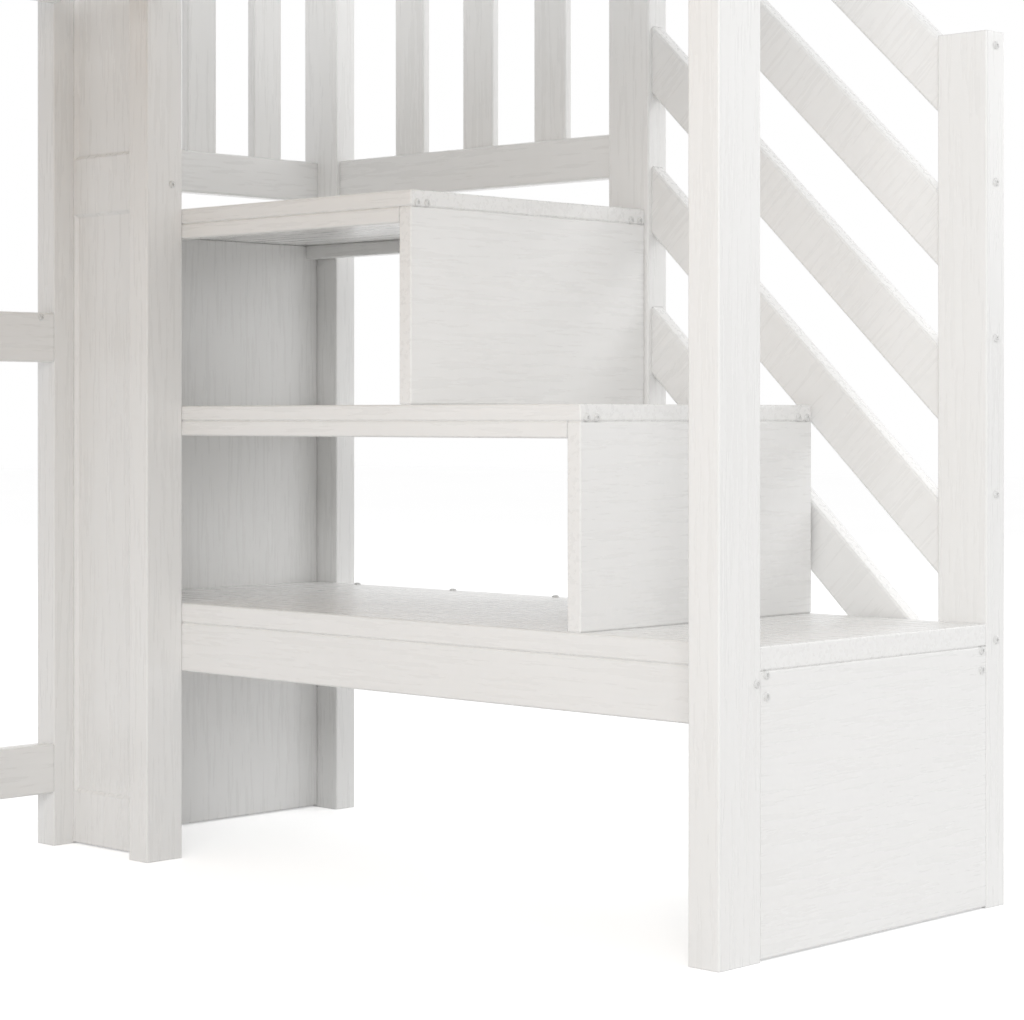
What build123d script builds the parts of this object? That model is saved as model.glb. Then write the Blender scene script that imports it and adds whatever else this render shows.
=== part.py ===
from build123d import *
import math
import os

# Loft bed with a stair of open cubbies across one end. Millimetres, +Z up.
# While modelling, x = 0 is the front face of the front posts, and x is negative towards the wall.
# y = 0 is the bed side of the front post at the stair end, and the stair stands at positive y.

# Overall sizes
bed_width = 1051.0
mattress_space = 1925.0
post_top = 1450.0
mattress_width_gap = 1.0

# Posts, as width across the bed by depth along the bed
front_post_width = 37.5
front_post_depth = 67.0
inner_post_width = 33.5
inner_post_depth = 56.5
inner_post_from_wall = 208.5
stair_post_width = 61.0
stair_post_depth = 36.0
post_edge = 2.0

# Stair
first_rise = 307.5
rise = 237.5
first_going = 224.5
going = 240.0
stair_width = 412.5
first_tread_board = 24.0
tread_board = 18.0
riser_board = 18.5
riser_set_back = 1.0
riser_floor_gap = 2.0
board_edge = 1.5
bearer_height = 18.0
bearer_depth = 22.0
apron_height = 58.5
apron_board = 18.0
side_panel_board = 22.0
panel_inset = 30.5
side_panel_from_wall = 25.0
newel_top = 950.0
newel_set_back = 0.5
rear_post_lead = 5.5

# Sloping slats of the stair's outer side
handrail_slats = 5
handrail_drop = 5.0
handrail_pitch = 169.5
handrail_slope = 45.0
handrail_width = 58.0
handrail_board = 22.0

# Rails and slats of the guards
rail_board = 22.0
rail_edge = 2.0
guard_rail_height = 54.0
guard_rail_drop = 6.0
landing_rail_lift = 42.5
slat_width = 51.0
slat_board = 13.0
slat_edge = 1.5
slat_housing = 8.0
housing_clearance = 0.2
direction_noise = 0.01
rear_slats = 3
rear_first_share = 0.1674
rear_pitch_share = 0.2569
side_slats = 3
side_first_share = 0.1552
side_pitch_share = 0.2885
guard_gap_wanted = 70.0
entry_post_width = 33.0
entry_post_depth = 35.0

# Bed deck
deck_rail_bottom = 1055.0
deck_rail_height = 110.0
ledger_height = 30.0
ledger_board = 20.0
ledger_lift = 20.0
deck_slats = 14
deck_slat_width = 70.0
deck_slat_board = 16.0
centre_beam_height = 45.0

# Stretchers low down between the posts
stretcher_height = 61.0
lower_stretcher_bottom = 65.5
upper_stretcher_bottom = 599.5

# Routed panel between the two posts nearest the wall
panel_board = 18.0
panel_bottom_rail = 65.0
panel_mid_rail_bottom = 784.0
panel_mid_rail_height = 68.0
panel_deck_rail_lift = 5.0
panel_deck_rail_height = 90.0
panel_top_rail = 70.0
panel_field_depth = 4.0
panel_side_margin = 3.0
panel_bevel = 45.0

# Fasteners
bolt_radius = 3.0
bolt_head_radius = 4.8
bolt_head_height = 3.0
bolt_into_rail = 46.0
bolt_from_edge = 14.0
bolt_cross_shift = 10.0
bolt_hole_spare = 1.0
nut_radius = 5.0
nut_length = 14.0
nut_back = 34.0
screw_radius = 2.0
screw_head_radius = 4.5
screw_head_height = 2.6
head_taper = 40.0
rod_sides = 6
screw_length = 34.0
screw_gap = 0.15
screw_first = 10.0
screw_second = 26.0
screw_above_joint = 4.0
newel_slat_screws = 4
newel_screw_rise = 11.0
newel_screw_drop = 15.0
newel_screw_length = 50.0
panel_screw_share = 0.4
front_post_screw_in = 7.0
front_post_screw_down = 35.5
stretcher_screw_in = 21.0
stretcher_screw_down = 5.5
riser_screw_pitch = 21.0
tread_screw_inset = 7.0
tread_screw_cover = 2.0
tread_screw_from_wall = 108.0
tread_screw_pitch = 172.0
dowel_radius = 4.0
dowel_half = 16.0
dowel_share_in_board = 0.35
dowel_gap = 0.1
dowel_from_edge = 12.0

# Places worked out from the sizes above
stair_y0 = front_post_depth
stair_y1 = stair_y0 + stair_width
stair_back = stair_y1 + stair_post_depth
wall_x = -bed_width
wall_post_x1 = wall_x + inner_post_width
inner_post_x1 = wall_x + inner_post_from_wall
inner_post_x0 = inner_post_x1 - inner_post_width
inner_post_y0 = front_post_depth - inner_post_depth
end_rail_y0 = (inner_post_y0 + front_post_depth - rail_board) / 2
end_rail_y1 = end_rail_y0 + rail_board
foot_rail_y1 = end_rail_y0 - mattress_space
foot_rail_y0 = foot_rail_y1 - rail_board
foot_y0 = foot_rail_y0 - (front_post_depth - end_rail_y1)
foot_front_y1 = foot_y0 + front_post_depth
foot_inner_y1 = foot_y0 + inner_post_depth
front_rail_x0 = -(front_post_width + rail_board) / 2
front_rail_x1 = front_rail_x0 + rail_board
wall_rail_x0 = wall_x + (inner_post_width - rail_board) / 2
wall_rail_x1 = wall_rail_x0 + rail_board
deck_rail_top = deck_rail_bottom + deck_rail_height
ledger_top = deck_rail_bottom + ledger_lift
panel_deck_rail_bottom = deck_rail_bottom + panel_deck_rail_lift
guard_rail_top = post_top - guard_rail_drop
guard_rail_bottom = guard_rail_top - guard_rail_height
tread_top = [first_rise, first_rise + rise, first_rise + 2 * rise]
tread_thick = [first_tread_board, tread_board, tread_board]
landing_rail_bottom = tread_top[2] + landing_rail_lift
second_riser_back = riser_set_back + first_going
riser_x = [-riser_set_back, -second_riser_back, -second_riser_back - going]
side_panel_x1 = wall_x + side_panel_from_wall
side_panel_x0 = side_panel_x1 - side_panel_board
rear_post_x1 = riser_x[2] + rear_post_lead
rear_post_x0 = rear_post_x1 - stair_post_width
stair_wall_x1 = wall_x + stair_post_width
newel_x1 = -newel_set_back
newel_x0 = newel_x1 - stair_post_width
guard_y0 = stair_y1 + (stair_post_depth - rail_board) / 2
guard_y1 = guard_y0 + rail_board
side_guard_x0 = side_panel_x1 - rail_board
entry_post_x1 = riser_x[2] + entry_post_width
panel_y0 = inner_post_y0 + panel_inset
panel_y1 = panel_y0 + panel_board

pieces = {}
connector_bolts = []
barrel_nuts = []
post_screws = []
stair_screws = []
tread_screws = []
dowels = []


def block(x, y, z):
    low = (x[0], y[0], z[0])
    size = (x[1] - x[0], y[1] - y[0], z[1] - z[0])
    return Pos(*low) * Box(*size, align=(Align.MIN, Align.MIN, Align.MIN))


def board(x, y, z, along, edge):
    """A planed board with its four long edges broken."""
    solid = block(x, y, z)
    return chamfer(solid.edges().filter_by(along), edge)


def eased_board(x, y, z, edge):
    """A board with every edge broken, for treads and risers."""
    solid = block(x, y, z)
    return chamfer(solid.edges(), edge)


def post(x, y, z):
    """An upright with rounded corners."""
    solid = block(x, y, z)
    return fillet(solid.edges().filter_by(Axis.Z), post_edge)


def rod_along(start, direction, radius, length):
    """A many-sided rod from a start point along a unit direction."""
    section = RegularPolygon(radius, rod_sides)
    return Plane(origin=start, z_dir=direction) * extrude(section, length)


def domed_head(seat, direction, radius, height):
    """A domed head that stands on its seat and faces against the direction of driving."""
    outward = tuple(-value for value in direction)
    crown = extrude(RegularPolygon(radius, rod_sides), height, taper=head_taper)
    return Plane(origin=seat, z_dir=outward) * crown


def fastener(seat, direction, head_radius, head_height, radius, length):
    """A round-headed bolt or screw: its head on the seat and its shank driven in."""
    head = domed_head(seat, direction, head_radius, head_height)
    shank = rod_along(seat, direction, radius, length)
    return head + shank


def drill(names, start, direction, radius, length):
    """Cut one round hole through each named piece."""
    hole = rod_along(start, direction, radius, length)
    for name in names:
        pieces[name] = pieces[name] - hole


def moved_point(start, direction, distance):
    return tuple(a + b * distance for a, b in zip(start, direction))


def connect(post_name, rail_name, seat, direction, through, nut_axis):
    """Bolt a rail's end to a post, with a barrel nut let in from the rail's inner face."""
    length = through + bolt_into_rail
    drill([post_name, rail_name], seat, direction, bolt_radius + screw_gap, length + bolt_hole_spare)
    centre = moved_point(seat, direction, through + nut_back)
    inner_face = moved_point(centre, nut_axis, -rail_board / 2)
    drill([rail_name], inner_face, nut_axis, nut_radius + screw_gap, (rail_board + nut_length) / 2)
    nut = rod_along(moved_point(centre, nut_axis, -nut_length / 2), nut_axis, nut_radius, nut_length)
    tapped = rod_along(seat, direction, bolt_radius, length)
    barrel_nuts.append(nut - tapped)
    bolt = fastener(seat, direction, bolt_head_radius, bolt_head_height, bolt_radius, length)
    connector_bolts.append(bolt)


def drive_screw(names, seat, direction, length, group):
    """Drive a round-headed screw through the named pieces in their own pilot hole."""
    drill(names, seat, direction, screw_radius, length)
    group.append(fastener(seat, direction, screw_head_radius, screw_head_height, screw_radius, length))


def dowel_joint(first, second, centre, direction):
    """Join two pieces face to face with a glued wooden dowel."""
    start = moved_point(centre, direction, -dowel_half)
    drill([first, second], start, direction, dowel_radius + dowel_gap, 2 * dowel_half)
    inset = moved_point(start, direction, dowel_gap)
    dowels.append(rod_along(inset, direction, dowel_radius, 2 * (dowel_half - dowel_gap)))


def spread(low, high, width, count):
    """Starts of equally spaced slats between two faces."""
    gap = (high - low - count * width) / (count + 1)
    return [low + gap + index * (width + gap) for index in range(count)]


def stepped_back(low, high, first_share, pitch_share, count):
    """Starts of slats counted back from the higher face, as shares of the span between two faces."""
    span = high - low
    first = high - first_share * span - slat_width
    return [first - index * pitch_share * span for index in range(count)]


def slat_count(low, high):
    """How many slats leave gaps of about the wanted width."""
    return round((high - low - guard_gap_wanted) / (slat_width + guard_gap_wanted))


def housed_slats(node, x, y, z, starts, across, rails):
    """Upright slats whose ends sit in housings cut into the rail above and the rail below."""
    solids = []
    reach = slat_housing - housing_clearance
    for start in starts:
        span = (start, start + slat_width)
        slat_x = span if across == "x" else x
        slat_y = y if across == "x" else span
        slat = board(slat_x, slat_y, (z[0] - reach, z[1] + reach), Axis.Z, slat_edge)
        pocket_x = (slat_x[0] - housing_clearance, slat_x[1] + housing_clearance)
        pocket_y = (slat_y[0] - housing_clearance, slat_y[1] + housing_clearance)
        pocket = block(pocket_x, pocket_y, (z[0] - slat_housing, z[1] + slat_housing))
        for rail in rails:
            pieces[rail] = pieces[rail] - pocket
        solids.append(slat)
    pieces[node] = Compound(children=solids)


def centred(low, thickness):
    """The two faces of a slat that sits midway in a rail which starts at low."""
    start = low + (rail_board - thickness) / 2
    return (start, start + thickness)


def make_posts():
    tall = (0, post_top)
    front = (-front_post_width, 0)
    wall = (wall_x, wall_post_x1)
    pieces["post_front_stair_end"] = post(front, (0, front_post_depth), tall)
    inner = (inner_post_x0, inner_post_x1)
    inner_y = (inner_post_y0, front_post_depth)
    pieces["post_inner_stair_end"] = post(inner, inner_y, tall)
    pieces["post_wall_stair_end"] = post(wall, inner_y, tall)
    pieces["post_front_foot_end"] = post(front, (foot_y0, foot_front_y1), tall)
    pieces["post_wall_foot_end"] = post(wall, (foot_y0, foot_inner_y1), tall)
    rear_y = (stair_y1, stair_back)
    hung_from = tread_top[0] - first_tread_board - apron_height
    pieces["stair_post_wall"] = post((wall_x, stair_wall_x1), rear_y, tall)
    pieces["stair_post_rear"] = post((rear_post_x0, rear_post_x1), rear_y, (hung_from, post_top))
    pieces["stair_newel"] = post((newel_x0, newel_x1), rear_y, (0, newel_top))


def make_stair():
    depth = (stair_y0, stair_y1)
    ends = [side_panel_x1, side_panel_x1, side_panel_x0]
    floors = [riser_floor_gap, tread_top[0], tread_top[1]]
    for step in range(3):
        top = tread_top[step]
        under = top - tread_thick[step]
        front = riser_x[step]
        pieces[f"tread_{step + 1}"] = eased_board((ends[step], front), depth, (under, top), board_edge)
        riser = eased_board((front - riser_board, front), depth, (floors[step], under), board_edge)
        pieces[f"riser_{step + 1}"] = riser
    panel_z = (riser_floor_gap, tread_top[2] - tread_board)
    pieces["stair_side_panel"] = eased_board((side_panel_x0, side_panel_x1), depth, panel_z, board_edge)


def make_bearers():
    names = ["front_apron", "front_bearer_2", "front_bearer_3"]
    rear_names = ["rear_apron", "rear_bearer_2", "rear_bearer_3"]
    for step in range(3):
        top = tread_top[step] - tread_thick[step]
        height = apron_height if step == 0 else bearer_height
        deep = apron_board if step == 0 else bearer_depth
        x = (side_panel_x1, riser_x[step] - riser_board)
        z = (top - height, top)
        pieces[names[step]] = board(x, (stair_y0, stair_y0 + deep), z, Axis.X, board_edge)
        pieces[rear_names[step]] = board(x, (stair_y1 - deep, stair_y1), z, Axis.X, board_edge)


def runs_sloping(edge):
    """Whether an edge is neither level nor upright."""
    direction = edge.tangent_at(0.5)
    return abs(direction.X) > direction_noise and abs(direction.Z) > direction_noise


def make_handrail():
    angle = math.radians(handrail_slope)
    upright = handrail_width / math.cos(angle)
    climb = (newel_x0 - rear_post_x1) * math.tan(angle)
    for index in range(handrail_slats):
        low_top = newel_top - handrail_drop - index * handrail_pitch
        low = (newel_x0, low_top)
        high = (rear_post_x1, low_top + climb)
        high_under = (high[0], high[1] - upright)
        low_under = (low[0], low[1] - upright)
        face = Plane.XZ * make_face(Polyline(low, high, high_under, low_under, close=True))
        slat = Pos(0, guard_y0, 0) * extrude(face, -handrail_board)
        middle_y = guard_y0 + handrail_board / 2
        name = f"handrail_slat_{index + 1}"
        pieces[name] = chamfer([edge for edge in slat.edges() if runs_sloping(edge)], rail_edge)
        end_z = low_top - upright / 2
        dowel_joint("stair_newel", name, (newel_x0, middle_y, end_z), (1, 0, 0))
        dowel_joint("stair_post_rear", name, (rear_post_x1, middle_y, end_z + climb), (1, 0, 0))


def make_landing_guards():
    rear_x = (stair_wall_x1, rear_post_x0)
    rear_y = (guard_y0, guard_y1)
    low = (landing_rail_bottom, landing_rail_bottom + guard_rail_height)
    high = (guard_rail_bottom, guard_rail_top)
    pieces["rear_guard_bottom_rail"] = board(rear_x, rear_y, low, Axis.X, rail_edge)
    pieces["rear_guard_top_rail"] = board(rear_x, rear_y, high, Axis.X, rail_edge)
    starts = stepped_back(stair_wall_x1, rear_post_x0, rear_first_share, rear_pitch_share, rear_slats)
    rails = ["rear_guard_bottom_rail", "rear_guard_top_rail"]
    slat_y = centred(guard_y0, slat_board)
    between = (low[1], high[0])
    housed_slats("rear_guard_slats", None, slat_y, between, starts, "x", rails)
    side_x = (side_guard_x0, side_panel_x1)
    side_y = (stair_y0, stair_y1)
    pieces["side_guard_bottom_rail"] = board(side_x, side_y, low, Axis.Y, rail_edge)
    pieces["side_guard_top_rail"] = board(side_x, side_y, high, Axis.Y, rail_edge)
    starts = stepped_back(stair_y0, stair_y1, side_first_share, side_pitch_share, side_slats)
    rails = ["side_guard_bottom_rail", "side_guard_top_rail"]
    slat_x = centred(side_guard_x0, slat_board)
    housed_slats("side_guard_slats", slat_x, None, between, starts, "y", rails)


def make_end_panel():
    """One board with three routed fields, each sunk behind bevelled edges."""
    x = (wall_post_x1, inner_post_x0)
    y = (panel_y0, panel_y1)
    top = guard_rail_top
    panel = block(x, y, (riser_floor_gap, top))
    mid_top = panel_mid_rail_bottom + panel_mid_rail_height
    deck_top = panel_deck_rail_bottom + panel_deck_rail_height
    fields = [
        (panel_bottom_rail, panel_mid_rail_bottom),
        (mid_top, panel_deck_rail_bottom),
        (deck_top, top - panel_top_rail),
    ]
    centre_x = (x[0] + x[1]) / 2
    width = x[1] - x[0] - 2 * panel_side_margin
    for low, high in fields:
        middle = (centre_x, y[0], (low + high) / 2)
        face_plane = Plane(origin=middle, x_dir=(1, 0, 0), z_dir=(0, 1, 0))
        outline = face_plane * Rectangle(width, high - low)
        panel = panel - extrude(outline, panel_field_depth, taper=panel_bevel)
    pieces["end_panel"] = panel


def make_stretchers():
    long_y = (foot_inner_y1, inner_post_y0)
    long_x = (wall_post_x1 - rail_board, wall_post_x1)
    foot_x = (wall_post_x1, -front_post_width)
    foot_y = (foot_rail_y0, foot_rail_y1)
    for label, bottom in (("lower", lower_stretcher_bottom), ("upper", upper_stretcher_bottom)):
        z = (bottom, bottom + stretcher_height)
        pieces[f"wall_stretcher_{label}"] = board(long_x, long_y, z, Axis.Y, rail_edge)
        pieces[f"foot_stretcher_{label}"] = board(foot_x, foot_y, z, Axis.X, rail_edge)


def make_deck():
    z = (deck_rail_bottom, deck_rail_top)
    front_y = (foot_front_y1, 0)
    wall_y = (foot_inner_y1, inner_post_y0)
    pieces["deck_rail_front"] = board((front_rail_x0, front_rail_x1), front_y, z, Axis.Y, rail_edge)
    pieces["deck_rail_wall"] = board((wall_rail_x0, wall_rail_x1), wall_y, z, Axis.Y, rail_edge)
    end_x = (inner_post_x1, -front_post_width)
    foot_x = (wall_post_x1, -front_post_width)
    pieces["deck_rail_stair_end"] = board(end_x, (end_rail_y0, end_rail_y1), z, Axis.X, rail_edge)
    pieces["deck_rail_foot_end"] = board(foot_x, (foot_rail_y0, foot_rail_y1), z, Axis.X, rail_edge)
    ledger_z = (ledger_top - ledger_height, ledger_top)
    ledger_front_x = (front_rail_x0 - ledger_board, front_rail_x0)
    ledger_wall_x = (wall_rail_x1, wall_rail_x1 + ledger_board)
    pieces["deck_ledger_front"] = board(ledger_front_x, front_y, ledger_z, Axis.Y, rail_edge)
    pieces["deck_ledger_wall"] = board(ledger_wall_x, wall_y, ledger_z, Axis.Y, rail_edge)
    beam_x = (front_rail_x0 + wall_rail_x1 - rail_board) / 2
    beam_z = (ledger_top - centre_beam_height, ledger_top)
    beam_y = (foot_rail_y1, end_rail_y0)
    pieces["deck_centre_beam"] = board((beam_x, beam_x + rail_board), beam_y, beam_z, Axis.Y, rail_edge)
    slat_x = (wall_rail_x1 + mattress_width_gap, front_rail_x0 - mattress_width_gap)
    slat_z = (ledger_top, ledger_top + deck_slat_board)
    starts = spread(foot_front_y1, 0, deck_slat_width, deck_slats)
    slats = [board(slat_x, (start, start + deck_slat_width), slat_z, Axis.X, slat_edge) for start in starts]
    pieces["deck_slats"] = Compound(children=slats)


def make_bed_guards():
    z = (guard_rail_bottom, guard_rail_top)
    gap_z = (deck_rail_top, guard_rail_bottom)
    front_y = (foot_front_y1, 0)
    wall_y = (foot_inner_y1, inner_post_y0)
    foot_x = (wall_post_x1, -front_post_width)
    entry_x = (entry_post_x1, -front_post_width)
    front_x = (front_rail_x0, front_rail_x1)
    wall_rail = (wall_rail_x0, wall_rail_x1)
    pieces["front_guard_top_rail"] = board(front_x, front_y, z, Axis.Y, rail_edge)
    pieces["wall_guard_top_rail"] = board(wall_rail, wall_y, z, Axis.Y, rail_edge)
    pieces["foot_guard_top_rail"] = board(foot_x, (foot_rail_y0, foot_rail_y1), z, Axis.X, rail_edge)
    pieces["entry_guard_top_rail"] = board(entry_x, (end_rail_y0, end_rail_y1), z, Axis.X, rail_edge)
    post_middle = (end_rail_y0 + end_rail_y1) / 2
    post_y = (post_middle - entry_post_depth / 2, post_middle + entry_post_depth / 2)
    post_x = (entry_post_x1 - entry_post_width, entry_post_x1)
    pieces["entry_guard_post"] = post(post_x, post_y, (deck_rail_top, post_top))
    starts = spread(*front_y, slat_width, slat_count(*front_y))
    rails = ["deck_rail_front", "front_guard_top_rail"]
    housed_slats("front_guard_slats", centred(front_rail_x0, slat_board), None, gap_z, starts, "y", rails)
    starts = spread(*wall_y, slat_width, slat_count(*wall_y))
    rails = ["deck_rail_wall", "wall_guard_top_rail"]
    housed_slats("wall_guard_slats", centred(wall_rail_x0, slat_board), None, gap_z, starts, "y", rails)
    starts = spread(*foot_x, slat_width, slat_count(*foot_x))
    rails = ["deck_rail_foot_end", "foot_guard_top_rail"]
    housed_slats("foot_guard_slats", None, centred(foot_rail_y0, slat_board), gap_z, starts, "x", rails)
    starts = spread(*entry_x, slat_width, slat_count(*entry_x))
    rails = ["deck_rail_stair_end", "entry_guard_top_rail"]
    housed_slats("entry_guard_slats", None, centred(end_rail_y0, slat_board), gap_z, starts, "x", rails)


def bolt_heights(bottom, height):
    if height < 3 * bolt_from_edge:
        return [bottom + height / 2]
    return [bottom + bolt_from_edge, bottom + height - bolt_from_edge]


def bolt_long_rail(rail, x_middle, posts, depth, nut_axis):
    """Bolt both ends of a deck rail that runs along the bed, through the posts' outer faces."""
    for name, face_y, sign in zip(posts, (front_post_depth, foot_y0), (-1, 1)):
        for z in bolt_heights(deck_rail_bottom, deck_rail_height):
            connect(name, rail, (x_middle, face_y, z), (0, sign, 0), depth, nut_axis)


def bolt_bed():
    front_x = (front_rail_x0 + front_rail_x1) / 2
    wall_rail_x = (wall_rail_x0 + wall_rail_x1) / 2
    foot_y = (foot_rail_y0 + foot_rail_y1) / 2
    end_y = (end_rail_y0 + end_rail_y1) / 2
    posts = ("post_front_stair_end", "post_front_foot_end")
    bolt_long_rail("deck_rail_front", front_x, posts, front_post_depth, (1, 0, 0))
    posts = ("post_wall_stair_end", "post_wall_foot_end")
    bolt_long_rail("deck_rail_wall", wall_rail_x, posts, inner_post_depth, (-1, 0, 0))
    low = deck_rail_bottom + bolt_cross_shift
    height = deck_rail_height - 2 * bolt_cross_shift
    for z in bolt_heights(low, height):
        seat = (wall_x, foot_y, z)
        connect("post_wall_foot_end", "deck_rail_foot_end", seat, (1, 0, 0), inner_post_width, (0, -1, 0))
        seat = (0, foot_y, z)
        connect("post_front_foot_end", "deck_rail_foot_end", seat, (-1, 0, 0), front_post_width, (0, -1, 0))
        seat = (0, end_y, z)
        connect("post_front_stair_end", "deck_rail_stair_end", seat, (-1, 0, 0), front_post_width, (0, 1, 0))
        dowel_joint("post_inner_stair_end", "deck_rail_stair_end", (inner_post_x1, end_y, z), (1, 0, 0))


def dowel_rails():
    """Dowels for the lighter rails, one in each end."""
    front_x = (front_rail_x0 + front_rail_x1) / 2
    wall_rail_x = (wall_rail_x0 + wall_rail_x1) / 2
    stretcher_x = wall_post_x1 - rail_board / 2
    foot_y = (foot_rail_y0 + foot_rail_y1) / 2
    end_y = (end_rail_y0 + end_rail_y1) / 2
    rear_y = (guard_y0 + guard_y1) / 2
    side_x = side_guard_x0 + rail_board / 2
    top_z = (guard_rail_bottom + guard_rail_top) / 2
    low_z = landing_rail_bottom + guard_rail_height / 2
    along = (0, 1, 0)
    across = (1, 0, 0)
    dowel_joint("post_front_stair_end", "front_guard_top_rail", (front_x, 0, top_z), along)
    dowel_joint("post_front_foot_end", "front_guard_top_rail", (front_x, foot_front_y1, top_z), along)
    dowel_joint("post_wall_stair_end", "wall_guard_top_rail", (wall_rail_x, inner_post_y0, top_z), along)
    dowel_joint("post_wall_foot_end", "wall_guard_top_rail", (wall_rail_x, foot_inner_y1, top_z), along)
    dowel_joint("post_wall_foot_end", "foot_guard_top_rail", (wall_post_x1, foot_y, top_z), across)
    dowel_joint("post_front_foot_end", "foot_guard_top_rail", (-front_post_width, foot_y, top_z), across)
    dowel_joint("entry_guard_post", "entry_guard_top_rail", (entry_post_x1, end_y, top_z), across)
    dowel_joint("post_front_stair_end", "entry_guard_top_rail", (-front_post_width, end_y, top_z), across)
    entry_middle = entry_post_x1 - entry_post_width / 2
    foot = (entry_middle, end_y, deck_rail_top)
    dowel_joint("entry_guard_post", "deck_rail_stair_end", foot, (0, 0, 1))
    for label, bottom in (("lower", lower_stretcher_bottom), ("upper", upper_stretcher_bottom)):
        z = bottom + stretcher_height / 2
        wall_name = f"wall_stretcher_{label}"
        foot_name = f"foot_stretcher_{label}"
        dowel_joint("post_wall_stair_end", wall_name, (stretcher_x, inner_post_y0, z), along)
        dowel_joint("post_wall_foot_end", wall_name, (stretcher_x, foot_inner_y1, z), along)
        dowel_joint("post_wall_foot_end", foot_name, (wall_post_x1, foot_y, z), across)
        dowel_joint("post_front_foot_end", foot_name, (-front_post_width, foot_y, z), across)
    for label, z in (("bottom", low_z), ("top", top_z)):
        rear_name = f"rear_guard_{label}_rail"
        side_name = f"side_guard_{label}_rail"
        dowel_joint("stair_post_wall", rear_name, (stair_wall_x1, rear_y, z), across)
        dowel_joint("stair_post_rear", rear_name, (rear_post_x0, rear_y, z), across)
        dowel_joint("post_wall_stair_end", side_name, (side_x, stair_y0, z), along)
        dowel_joint("stair_post_wall", side_name, (side_x, stair_y1, z), along)


def screw_stair():
    """Screws that show on the stair: pairs on the fronts, a row behind each tread's open part."""
    inward = (-1, 0, 0)
    down = (0, 0, -1)
    joint = tread_top[0] - first_tread_board
    ends = (("front_apron", stair_y0, 1), ("rear_apron", stair_y1, -1))
    for bearer, edge_y, sign in ends:
        y = edge_y + sign * screw_first
        for z in (joint - screw_above_joint, joint - screw_above_joint - riser_screw_pitch):
            drive_screw(["riser_1", bearer], (riser_x[0], y, z), inward, screw_length, stair_screws)
    for step in (1, 2):
        joint = tread_top[step] - tread_thick[step]
        tread = f"tread_{step + 1}"
        z = joint + screw_above_joint
        for edge_y, sign in ((stair_y0, 1), (stair_y1, -1)):
            for inset in (screw_first, screw_second):
                y = edge_y + sign * inset
                drive_screw([tread], (riser_x[step], y, z), inward, screw_length, stair_screws)
    y = stair_y1 - tread_screw_inset
    for step in range(3):
        place = wall_x + tread_screw_from_wall
        bearer = "rear_apron" if step == 0 else f"rear_bearer_{step + 1}"
        length = screw_length if step == 0 else tread_thick[step] + bearer_height - tread_screw_cover
        row_end = riser_x[min(step + 1, 2)] - riser_board - screw_head_radius
        while place < row_end:
            names = [f"tread_{step + 1}", bearer]
            drive_screw(names, (place, y, tread_top[step]), down, length, tread_screws)
            place = place + tread_screw_pitch


def screw_posts():
    """Screws whose heads show on the posts and on the upper stretcher."""
    inward = (-1, 0, 0)
    mid_rail = panel_mid_rail_bottom + panel_mid_rail_height * panel_screw_share
    seat = (inner_post_x1, (panel_y0 + panel_y1) / 2, mid_rail)
    names = ["post_inner_stair_end", "end_panel"]
    drive_screw(names, seat, inward, inner_post_width + screw_length, post_screws)
    newel_y = (guard_y0 + guard_y1) / 2
    first_top = newel_top - handrail_drop
    tops = [first_top - index * handrail_pitch for index in range(newel_slat_screws)]
    heights = [min(top + newel_screw_rise, newel_top - newel_screw_drop) for top in tops]
    for z in heights + [tread_top[0] - tread_board]:
        drive_screw(["stair_newel"], (newel_x1, newel_y, z), inward, newel_screw_length, post_screws)
    seat = (0, front_post_depth - front_post_screw_in, tread_top[0] - front_post_screw_down)
    drive_screw(["post_front_stair_end"], seat, inward, front_post_width - screw_gap, post_screws)
    z = upper_stretcher_bottom + stretcher_height - stretcher_screw_down
    seat = (wall_post_x1, inner_post_y0 - stretcher_screw_in, z)
    drive_screw(["wall_stretcher_upper"], seat, inward, rail_board - screw_gap, post_screws)


def tie_stair():
    """Dowels between the stair's bearers and the posts that they stand against."""
    along = (0, 1, 0)
    reach = dowel_half * dowel_share_in_board
    apron_ends = (stair_y0 - reach, stair_y1 + reach)
    inner_x = inner_post_x1 - inner_post_width / 2
    wall_end_x = (side_panel_x1 + stair_wall_x1) / 2
    rear_x = rear_post_x1 - stair_post_width / 2
    fronts = ("front_apron", "front_bearer_2", "front_bearer_3")
    rears = ("rear_apron", "rear_bearer_2", "rear_bearer_3")
    for step, (front, rear) in enumerate(zip(fronts, rears)):
        height = apron_height if step == 0 else bearer_height
        z = tread_top[step] - tread_thick[step] - height / 2
        dowel_joint("post_inner_stair_end", front, (inner_x, apron_ends[0], z), along)
        dowel_joint("stair_post_wall", rear, (wall_end_x, apron_ends[1], z), along)
        dowel_joint("stair_post_rear", rear, (rear_x, apron_ends[1], z), along)
    z = tread_top[0] - tread_thick[0] - apron_height + dowel_from_edge
    post_x = (riser_x[0] - riser_board - front_post_width) / 2
    newel_x = (riser_x[0] - riser_board + newel_x0) / 2
    dowel_joint("post_front_stair_end", "front_apron", (post_x, apron_ends[0], z), along)
    dowel_joint("stair_newel", "rear_apron", (newel_x, apron_ends[1], z), along)


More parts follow.
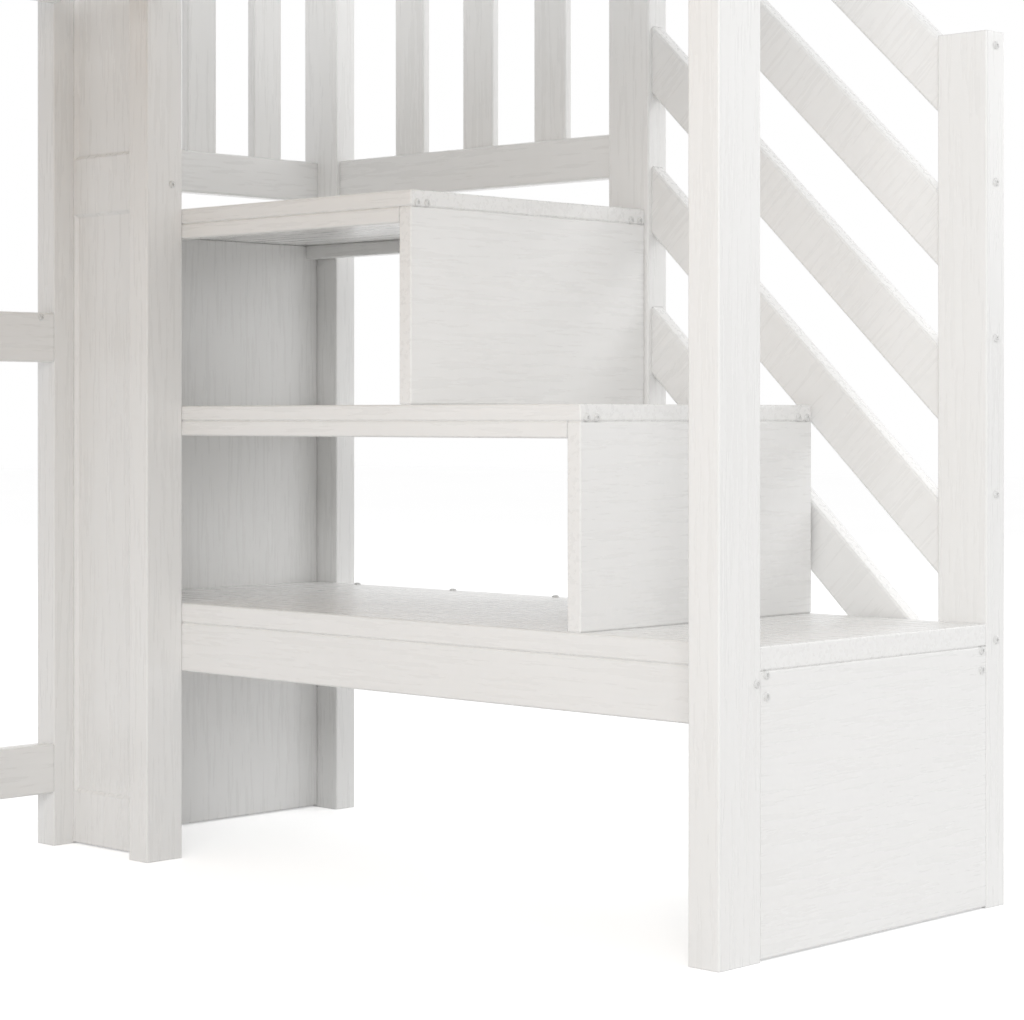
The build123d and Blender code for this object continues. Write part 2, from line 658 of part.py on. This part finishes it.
def write_parts():
    os.makedirs("parts", exist_ok=True)
    groups = {
        "connector_bolts": connector_bolts,
        "barrel_nuts": barrel_nuts,
        "post_screws": post_screws,
        "stair_screws": stair_screws,
        "tread_screws": tread_screws,
        "dowels": dowels,
    }
    for name, solids in groups.items():
        pieces[name] = Compound(children=solids)
    boxes = [solid.bounding_box() for solid in pieces.values()]
    middle_x = (min(box.min.X for box in boxes) + max(box.max.X for box in boxes)) / 2
    middle_y = (min(box.min.Y for box in boxes) + max(box.max.Y for box in boxes)) / 2
    shift = Location((-middle_x, -middle_y, 0))
    for name, solid in pieces.items():
        export_step(solid.moved(shift), f"parts/{name}.step")
    print("moved by", round(-middle_x, 3), round(-middle_y, 3))
    print(len(pieces), "nodes written")


make_posts()
make_stair()
make_bearers()
make_handrail()
make_landing_guards()
make_end_panel()
make_stretchers()
make_deck()
make_bed_guards()
bolt_bed()
dowel_rails()
screw_stair()
screw_posts()
tie_stair()
write_parts()
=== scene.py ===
import math

import bmesh
import bpy
from mathutils import Euler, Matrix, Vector


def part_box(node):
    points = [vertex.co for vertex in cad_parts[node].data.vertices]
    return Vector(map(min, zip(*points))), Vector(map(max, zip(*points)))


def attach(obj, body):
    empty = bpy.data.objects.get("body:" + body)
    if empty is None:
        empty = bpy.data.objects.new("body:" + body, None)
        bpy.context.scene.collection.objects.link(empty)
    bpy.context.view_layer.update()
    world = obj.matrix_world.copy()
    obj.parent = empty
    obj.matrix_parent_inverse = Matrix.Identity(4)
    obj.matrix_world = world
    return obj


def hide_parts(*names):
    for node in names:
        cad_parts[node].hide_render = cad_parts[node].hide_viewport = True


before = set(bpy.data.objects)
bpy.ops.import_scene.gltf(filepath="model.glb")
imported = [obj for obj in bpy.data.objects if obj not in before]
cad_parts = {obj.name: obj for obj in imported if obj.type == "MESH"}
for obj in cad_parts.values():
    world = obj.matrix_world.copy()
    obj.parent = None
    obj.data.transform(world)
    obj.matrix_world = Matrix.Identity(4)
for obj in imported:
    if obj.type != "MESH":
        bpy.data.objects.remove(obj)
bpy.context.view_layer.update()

plain_white = (1.0, 1.0, 1.0, 1.0)

# Camera, as measured from the straight edges in the photograph
camera_place = (2.0443, -1.3408, 0.530)
camera_turn = 46.64
focal_pixels = 2630.4
image_width = 1024
image_height = 1020
principal_point = (248.7, 418.3)
sensor_width = 36.0
far_clip = 100.0

# Paint
paint_colour = (0.878, 0.874, 0.863, 1.0)
paint_dark = (0.866, 0.862, 0.850, 1.0)
paint_light = (0.886, 0.883, 0.873, 1.0)
paint_roughness = (0.24, 0.33)
paint_streaks = (0.978, 0.978, 0.976, 1.0)
paint_edge_radius = 0.0022
paint_edge_samples = 6
paint_specular = 0.5
paint_ior = 1.5
grain_stretch = 14.0
grain_scale = 130.0
grain_detail = 4.0
grain_mix = 0.62
grain_bump = (0.12, 0.00035)
cloud_scale = 3.2
cloud_detail = 3.0
stipple_scale = 900.0
stipple_detail = 2.0
stipple_bump = (0.10, 0.0001)
cloud_stops = [(0.25, paint_dark), (0.5, paint_colour), (0.78, paint_light)]
streak_stops = [(0.36, paint_streaks), (0.6, plain_white)]
slat_slope = 45.0

# Bare wood: colours of the growth lines and of the wood between them
pine_stops = [
    (0.30, (0.44, 0.27, 0.13, 1.0)),
    (0.48, (0.62, 0.42, 0.23, 1.0)),
    (0.62, (0.72, 0.52, 0.31, 1.0)),
    (0.80, (0.66, 0.46, 0.26, 1.0)),
]
pine_roughness = (0.48, 0.62)
pine_stretch = 22.0
pine_line_scale = 60.0
pine_line_detail = 5.0
pine_fibre_scale = 420.0
pine_fibre_detail = 3.0
pine_bump = (0.25, 0.0004)

# Steel heads: dark and light colour, metallic share and roughness
painted_steel = ((0.66, 0.66, 0.65, 1), (0.8, 0.8, 0.79, 1), 0.0, (0.32, 0.45))
zinc_plate = ((0.5, 0.5, 0.49, 1), (0.66, 0.66, 0.65, 1), 1.0, (0.28, 0.4))
rub_scale = 700.0
rub_detail = 4.0
rub_bump = (0.15, 0.0001)
rub_stops = (0.35, 0.65)
fibre_mix = 0.6

# The part of a noise's span that is spread over a range of values
noise_span = (0.3, 0.7)

# Sockets of the colour mix node that its names don't tell apart
mix_first = 6
mix_second = 7
mix_result = 2

# Round heads that stand for the plain ones of the rigid model
head_segments = 24
dome_rings = 6
socket_share = 0.42
socket_depth_share = 0.55
cross_share = 0.62
cross_arm_share = 0.34
head_reach_share = 0.985
rim_height_share = 0.22
dome_turn = 78.0
dome_power = 0.75
socket_taper = 0.86
tip_radius_share = 0.35
shank_straight_share = 0.9
rim_share = 0.98
end_tolerance = 1e-5
corner_grid = 1e6
least_sine = 1e-3
sharp_angle = 38.0

# Fasteners with round heads in the scene: node, slot and drive
fasteners = [
    ("post_screws", "painted_screws", "hexagon"),
    ("stair_screws", "painted_screws", "hexagon"),
    ("tread_screws", "painted_screws", "cross"),
    ("connector_bolts", "plated_steel", "hexagon"),
]

# Floor and light
floor_size = 40.0
floor_glow = 0.45
floor_roughness = 0.9
floor_specular = 0.1
floor_cloud_scale = 0.8
floor_cloud_detail = 2.0
floor_tints = [(0.3, (0.88, 0.88, 0.88, 1)), (0.7, (0.9, 0.9, 0.9, 1))]
backdrop_level = 1.0
world_level = 0.583
lamp_distance = 6.0
lamp_aim = (0.0, 0.8, 0.4)

# Lamps: name, bearing, elevation, size and power
lamps = [
    ("key", 35.0, 22.0, (3.0, 2.4), 128.5),
    ("stair_side_low", 160.0, 20.0, (4.0, 3.0), 60.0),
    ("stair_side_high", 150.0, 50.0, (4.0, 3.0), 30.0),
    ("wall_side", 230.0, 45.0, (4.0, 3.0), 50.0),
]


def new_material(name):
    """A node material with its shader and output, and nothing else."""
    material = bpy.data.materials.new(name)
    material.use_nodes = True
    tree = material.node_tree
    tree.nodes.clear()
    output = tree.nodes.new("ShaderNodeOutputMaterial")
    shader = tree.nodes.new("ShaderNodeBsdfPrincipled")
    tree.links.new(shader.outputs["BSDF"], output.inputs["Surface"])
    return material, tree, shader


def stretched_place(tree, along, stretch, turn=0.0):
    """Object coordinates squeezed along one axis, so that a pattern runs long that way."""
    place = tree.nodes.new("ShaderNodeTexCoord")
    turned = tree.nodes.new("ShaderNodeMapping")
    turned.inputs["Rotation"].default_value = (0.0, turn, 0.0)
    squeezed = tree.nodes.new("ShaderNodeMapping")
    scale = [1.0, 1.0, 1.0]
    scale["XYZ".index(along)] = 1.0 / stretch
    squeezed.inputs["Scale"].default_value = scale
    tree.links.new(place.outputs["Object"], turned.inputs["Vector"])
    tree.links.new(turned.outputs["Vector"], squeezed.inputs["Vector"])
    return squeezed.outputs["Vector"]


def noise(tree, place, scale, detail, roughness=0.5):
    """A noise over a place, as one value."""
    node = tree.nodes.new("ShaderNodeTexNoise")
    node.inputs["Scale"].default_value = scale
    node.inputs["Detail"].default_value = detail
    node.inputs["Roughness"].default_value = roughness
    tree.links.new(place, node.inputs["Vector"])
    return node.outputs["Fac"]


def ramp(tree, value, stops):
    """A value turned into a colour."""
    node = tree.nodes.new("ShaderNodeValToRGB")
    elements = node.color_ramp.elements
    while len(elements) < len(stops):
        elements.new(0.5)
    for element, (position, colour) in zip(elements, stops):
        element.position = position
        element.color = colour
    tree.links.new(value, node.inputs["Fac"])
    return node.outputs["Color"]


def map_range(tree, value, low, high):
    """The span of a noise spread from a low to a high value."""
    node = tree.nodes.new("ShaderNodeMapRange")
    node.inputs["From Min"].default_value = noise_span[0]
    node.inputs["From Max"].default_value = noise_span[1]
    node.inputs["To Min"].default_value = low
    node.inputs["To Max"].default_value = high
    tree.links.new(value, node.inputs["Value"])
    return node.outputs["Result"]


def bump(tree, height, strength, distance, normal=None):
    """A surface direction tilted by a height, over another one where it is given."""
    node = tree.nodes.new("ShaderNodeBump")
    node.inputs["Strength"].default_value = strength
    node.inputs["Distance"].default_value = distance
    tree.links.new(height, node.inputs["Height"])
    if normal is not None:
        tree.links.new(normal, node.inputs["Normal"])
    return node.outputs["Normal"]


def white_paint(name, along, turn=0.0):
    """Semi-gloss white over solid wood: faint grain and roller texture, softened edges."""
    material, tree, shader = new_material(name)
    long_place = stretched_place(tree, along, grain_stretch, turn)
    plain_place = stretched_place(tree, along, 1.0, turn)
    clouds = noise(tree, plain_place, cloud_scale, cloud_detail)
    grain = noise(tree, long_place, grain_scale, grain_detail, grain_mix)
    stipple = noise(tree, plain_place, stipple_scale, stipple_detail)
    colour = ramp(tree, clouds, cloud_stops)
    streaks = ramp(tree, grain, streak_stops)
    both = tree.nodes.new("ShaderNodeMix")
    both.data_type = "RGBA"
    both.blend_type = "MULTIPLY"
    both.inputs["Factor"].default_value = 1.0
    tree.links.new(colour, both.inputs[mix_first])
    tree.links.new(streaks, both.inputs[mix_second])
    tree.links.new(both.outputs[mix_result], shader.inputs["Base Color"])
    tree.links.new(map_range(tree, grain, *paint_roughness), shader.inputs["Roughness"])
    edge = tree.nodes.new("ShaderNodeBevel")
    edge.samples = paint_edge_samples
    edge.inputs["Radius"].default_value = paint_edge_radius
    normal = bump(tree, grain, *grain_bump, edge.outputs["Normal"])
    normal = bump(tree, stipple, *stipple_bump, normal)
    tree.links.new(normal, shader.inputs["Normal"])
    shader.inputs["Specular IOR Level"].default_value = paint_specular
    shader.inputs["IOR"].default_value = paint_ior
    return material


def bare_pine(name, along):
    """Planed pine with long growth lines and a few darker bands."""
    material, tree, shader = new_material(name)
    place = stretched_place(tree, along, pine_stretch)
    lines = noise(tree, place, pine_line_scale, pine_line_detail, fibre_mix)
    fibre = noise(tree, place, pine_fibre_scale, pine_fibre_detail, fibre_mix)
    tree.links.new(ramp(tree, lines, pine_stops), shader.inputs["Base Color"])
    tree.links.new(map_range(tree, fibre, *pine_roughness), shader.inputs["Roughness"])
    tree.links.new(bump(tree, fibre, *pine_bump), shader.inputs["Normal"])
    return material


def screw_metal(name, dark, light, metallic, roughness):
    """Small steel heads with a fine turned and rubbed finish."""
    material, tree, shader = new_material(name)
    place = stretched_place(tree, "Z", 1.0)
    rub = noise(tree, place, rub_scale, rub_detail, fibre_mix)
    stops = list(zip(rub_stops, (dark, light)))
    tree.links.new(ramp(tree, rub, stops), shader.inputs["Base Color"])
    tree.links.new(map_range(tree, rub, *roughness), shader.inputs["Roughness"])
    tree.links.new(bump(tree, rub, *rub_bump), shader.inputs["Normal"])
    shader.inputs["Metallic"].default_value = metallic
    return material


def separate_solids(mesh):
    """The corner points of each solid in a mesh, found by the corners that its faces share."""
    places = {}
    owner = []
    for vertex in mesh.vertices:
        key = tuple(round(value * corner_grid) for value in vertex.co)
        owner.append(places.setdefault(key, vertex.index))
    parent = list(range(len(owner)))

    def root(index):
        while parent[index] != index:
            index = parent[index]
        return index

    for edge in mesh.edges:
        first, second = sorted(root(owner[index]) for index in edge.vertices)
        parent[second] = first
    groups = {}
    for index in sorted(set(owner)):
        groups.setdefault(root(index), []).append(mesh.vertices[index].co.copy())
    return [groups[key] for key in sorted(groups)]


def measure_fastener(points):
    """Seat, outward direction, head radius and height, shank radius and length of one fastener."""
    low = [min(point[axis] for point in points) for axis in range(3)]
    high = [max(point[axis] for point in points) for axis in range(3)]
    size = [b - a for a, b in zip(low, high)]
    axis = size.index(max(size))
    centre = Vector([(a + b) / 2 for a, b in zip(low, high)])

    def distance(point):
        away = point - centre
        away[axis] = 0.0
        return away.length

    head_radius = max(distance(point) for point in points)
    rim = [point[axis] for point in points if distance(point) > rim_share * head_radius]
    seat_level = sum(rim) / len(rim)
    sign = 1.0 if high[axis] - seat_level < seat_level - low[axis] else -1.0
    top_level = high[axis] if sign > 0 else low[axis]
    tip_level = low[axis] if sign > 0 else high[axis]
    tip = [distance(point) for point in points if abs(point[axis] - tip_level) < end_tolerance]
    outward = Vector((0.0, 0.0, 0.0))
    outward[axis] = sign
    seat = centre.copy()
    seat[axis] = seat_level
    height = abs(top_level - seat_level)
    return seat, outward, head_radius, height, max(tip), abs(tip_level - seat_level)


def socket_radius(kind, angle, radius):
    """Outline of the drive in a head: a hexagon or a cross."""
    if kind == "hexagon":
        sector = (angle % (math.pi / 3)) - math.pi / 6
        return radius * socket_share * math.cos(math.pi / 6) / math.cos(sector)
    sector = abs((angle + math.pi / 4) % (math.pi / 2) - math.pi / 4)
    arm = radius * cross_share
    half_width = arm * cross_arm_share
    return min(arm / math.cos(sector), half_width / max(math.sin(sector), least_sine))


def circle(radius):
    """An outline with the same radius all round."""
    return lambda angle: radius


def socket_outline(kind, head_radius, share):
    """A drive's outline, drawn in by a share."""
    return lambda angle: share * socket_radius(kind, angle, head_radius)


def add_ring(mesh, seat, axes, radius_at, level):
    """One ring of corners round the fastener's axis."""
    side, other, outward = axes
    ring = []
    for index in range(head_segments):
        angle = 2 * math.pi * index / head_segments
        radius = radius_at(angle)
        offset = side * (radius * math.cos(angle)) + other * (radius * math.sin(angle))
        ring.append(mesh.verts.new(seat + offset + outward * level))
    return ring


def join_rings(mesh, rings):
    """Faces between each ring and the next."""
    for lower, upper in zip(rings, rings[1:]):
        for index in range(head_segments):
            after = (index + 1) % head_segments
            mesh.faces.new((lower[index], lower[after], upper[after], upper[index]))


def add_fastener(mesh, points, kind):
    """A domed head with its drive sunk in it, and a shank that ends in a short point."""
    seat, outward, head_radius, height, shank_radius, length = measure_fastener(points)
    side = Vector((outward.y, outward.z, outward.x))
    axes = (side, outward.cross(side), outward)
    profile = [
        (shank_radius * tip_radius_share, -length),
        (shank_radius, -length * shank_straight_share),
        (shank_radius, 0.0),
        (head_radius, 0.0),
        (head_radius, height * rim_height_share),
    ]
    for step in range(1, dome_rings):
        turn = math.radians(dome_turn) * step / dome_rings
        rise = (1 - rim_height_share) * math.sin(turn) * head_reach_share
        level = height * (rim_height_share + rise)
        profile.append((head_radius * math.cos(turn) ** dome_power, level))
    rings = [add_ring(mesh, seat, axes, circle(radius), level) for radius, level in profile]
    lip = profile[-1][1]
    socket_bottom = lip - height * socket_depth_share
    for share, level in ((1.0, lip), (socket_taper, socket_bottom)):
        rings.append(add_ring(mesh, seat, axes, socket_outline(kind, head_radius, share), level))
    join_rings(mesh, rings)
    mesh.faces.new(list(reversed(rings[0])))
    mesh.faces.new(rings[-1])


def fastener_set(node_name, kind, material):
    """One piece that stands for a node of bolts or screws, each in its own place."""
    piece_name = f"round_{node_name}"
    mesh = bmesh.new()
    for points in separate_solids(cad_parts[node_name].data):
        add_fastener(mesh, points, kind)
    bmesh.ops.recalc_face_normals(mesh, faces=mesh.faces)
    data = bpy.data.meshes.new(piece_name)
    mesh.to_mesh(data)
    mesh.free()
    for face in data.polygons:
        face.use_smooth = True
    data.set_sharp_from_angle(angle=math.radians(sharp_angle))
    piece = bpy.data.objects.new(piece_name, data)
    bpy.context.collection.objects.link(piece)
    data.materials.append(material)
    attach(piece, "root")
    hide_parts(node_name)


def long_axis(node):
    """The axis along which a node is longest."""
    low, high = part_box(node)
    size = [b - a for a, b in zip(low, high)]
    return "XYZ"[size.index(max(size))]


def dress_nodes():
    """Give each carried-over node the paint whose grain runs along its own length."""
    paints = {axis: white_paint(f"white_paint_{axis.lower()}", axis) for axis in "XYZ"}
    sloping = white_paint("white_paint_sloping", "X", math.radians(slat_slope))
    pine = {axis: bare_pine(f"bare_pine_{axis.lower()}", axis) for axis in "XY"}
    beech = bare_pine("beech_dowel", "Z")
    metals = {
        "painted_screws": screw_metal("painted_screws", *painted_steel),
        "plated_steel": screw_metal("plated_steel", *zinc_plate),
    }
    chosen = {
        "barrel_nuts": metals["plated_steel"],
        "dowels": beech,
        "deck_slats": pine["X"],
        "deck_centre_beam": pine["Y"],
    }
    for node_name, slot, kind in fasteners:
        chosen[node_name] = metals[slot]
    for name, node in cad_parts.items():
        if name.startswith("handrail_slat"):
            material = sloping
        elif name.endswith("guard_slats"):
            material = paints["Z"]
        else:
            material = chosen.get(name) or paints[long_axis(name)]
        node.data.materials.clear()
        node.data.materials.append(material)
    for node_name, slot, kind in fasteners:
        fastener_set(node_name, kind, metals[slot])


def seen_or_reflected(tree):
    """One for rays that come from the camera, a reflection or glass, and nought for the rest."""
    rays = tree.nodes.new("ShaderNodeLightPath")
    value = rays.outputs["Is Camera Ray"]
    for name in ("Is Glossy Ray", "Is Transmission Ray"):
        larger = tree.nodes.new("ShaderNodeMath")
        larger.operation = "MAXIMUM"
        tree.links.new(value, larger.inputs[0])
        tree.links.new(rays.outputs[name], larger.inputs[1])
        value = larger.outputs[0]
    return value


def make_floor():
    """A plain pale floor, white to the camera and in reflections, which keeps a faint shadow."""
    bpy.ops.mesh.primitive_plane_add(size=floor_size, location=(0, 0, 0))
    floor = bpy.context.object
    floor.name = "floor"
    material, tree, shader = new_material("pale_floor")
    place = stretched_place(tree, "X", 1.0)
    cloud = noise(tree, place, floor_cloud_scale, floor_cloud_detail)
    tree.links.new(ramp(tree, cloud, floor_tints), shader.inputs["Base Color"])
    shader.inputs["Roughness"].default_value = floor_roughness
    shader.inputs["Specular IOR Level"].default_value = floor_specular
    strength = tree.nodes.new("ShaderNodeMath")
    strength.operation = "MULTIPLY"
    strength.inputs[1].default_value = floor_glow
    tree.links.new(seen_or_reflected(tree), strength.inputs[0])
    glow = tree.nodes.new("ShaderNodeEmission")
    glow.inputs["Color"].default_value = plain_white
    tree.links.new(strength.outputs[0], glow.inputs["Strength"])
    both = tree.nodes.new("ShaderNodeAddShader")
    output = next(node for node in tree.nodes if node.type == "OUTPUT_MATERIAL")
    tree.links.new(shader.outputs["BSDF"], both.inputs[0])
    tree.links.new(glow.outputs["Emission"], both.inputs[1])
    tree.links.new(both.outputs[0], output.inputs["Surface"])
    floor.data.materials.append(material)


def make_world():
    """White all round: a full white to the camera and in reflections, a plain level on surfaces."""
    world = bpy.data.worlds.new("studio")
    bpy.context.scene.world = world
    world.use_nodes = True
    tree = world.node_tree
    tree.nodes.clear()
    output = tree.nodes.new("ShaderNodeOutputWorld")
    light = tree.nodes.new("ShaderNodeBackground")
    light.inputs["Color"].default_value = plain_white
    light.inputs["Strength"].default_value = world_level
    backdrop = tree.nodes.new("ShaderNodeBackground")
    backdrop.inputs["Color"].default_value = plain_white
    backdrop.inputs["Strength"].default_value = backdrop_level
    mix = tree.nodes.new("ShaderNodeMixShader")
    tree.links.new(seen_or_reflected(tree), mix.inputs["Fac"])
    tree.links.new(light.outputs[0], mix.inputs[1])
    tree.links.new(backdrop.outputs[0], mix.inputs[2])
    tree.links.new(mix.outputs[0], output.inputs["Surface"])


def lamp_place(bearing, elevation):
    """Where a lamp stands: bearing in degrees from the foot end towards the open front."""
    level = lamp_distance * math.cos(math.radians(elevation))
    x = lamp_aim[0] + level * math.sin(math.radians(bearing))
    y = lamp_aim[1] - level * math.cos(math.radians(bearing))
    z = lamp_aim[2] + lamp_distance * math.sin(math.radians(elevation))
    return (x, y, z)


def area_lamp(name, place, size, power):
    """A rectangular lamp that faces the aim."""
    lamp = bpy.data.lights.new(name, "AREA")
    lamp.shape = "RECTANGLE"
    lamp.size = size[0]
    lamp.size_y = size[1]
    lamp.energy = power
    piece = bpy.data.objects.new(name, lamp)
    piece.location = place
    piece.rotation_euler = (Vector(lamp_aim) - Vector(place)).to_track_quat("-Z", "Y").to_euler()
    bpy.context.collection.objects.link(piece)


def make_lights():
    """Soft studio light: large lamps at a distance, none of them strong."""
    for name, bearing, elevation, size, power in lamps:
        area_lamp(name, lamp_place(bearing, elevation), size, power)


def make_camera():
    """A level camera with its frame shifted, as in the photograph, so that uprights stay upright."""
    data = bpy.data.cameras.new("camera")
    data.sensor_fit = "HORIZONTAL"
    data.sensor_width = sensor_width
    data.lens = sensor_width * focal_pixels / image_width
    data.shift_x = (image_width / 2 - principal_point[0]) / image_width
    data.shift_y = (principal_point[1] - image_height / 2) / image_width
    data.clip_end = far_clip
    camera = bpy.data.objects.new("camera", data)
    camera.location = camera_place
    camera.rotation_euler = Euler((math.radians(90.0), 0.0, math.radians(camera_turn)))
    bpy.context.collection.objects.link(camera)
    bpy.context.scene.camera = camera


bpy.context.scene.view_settings.view_transform = "Standard"
dress_nodes()
make_floor()
make_world()
make_lights()
make_camera()
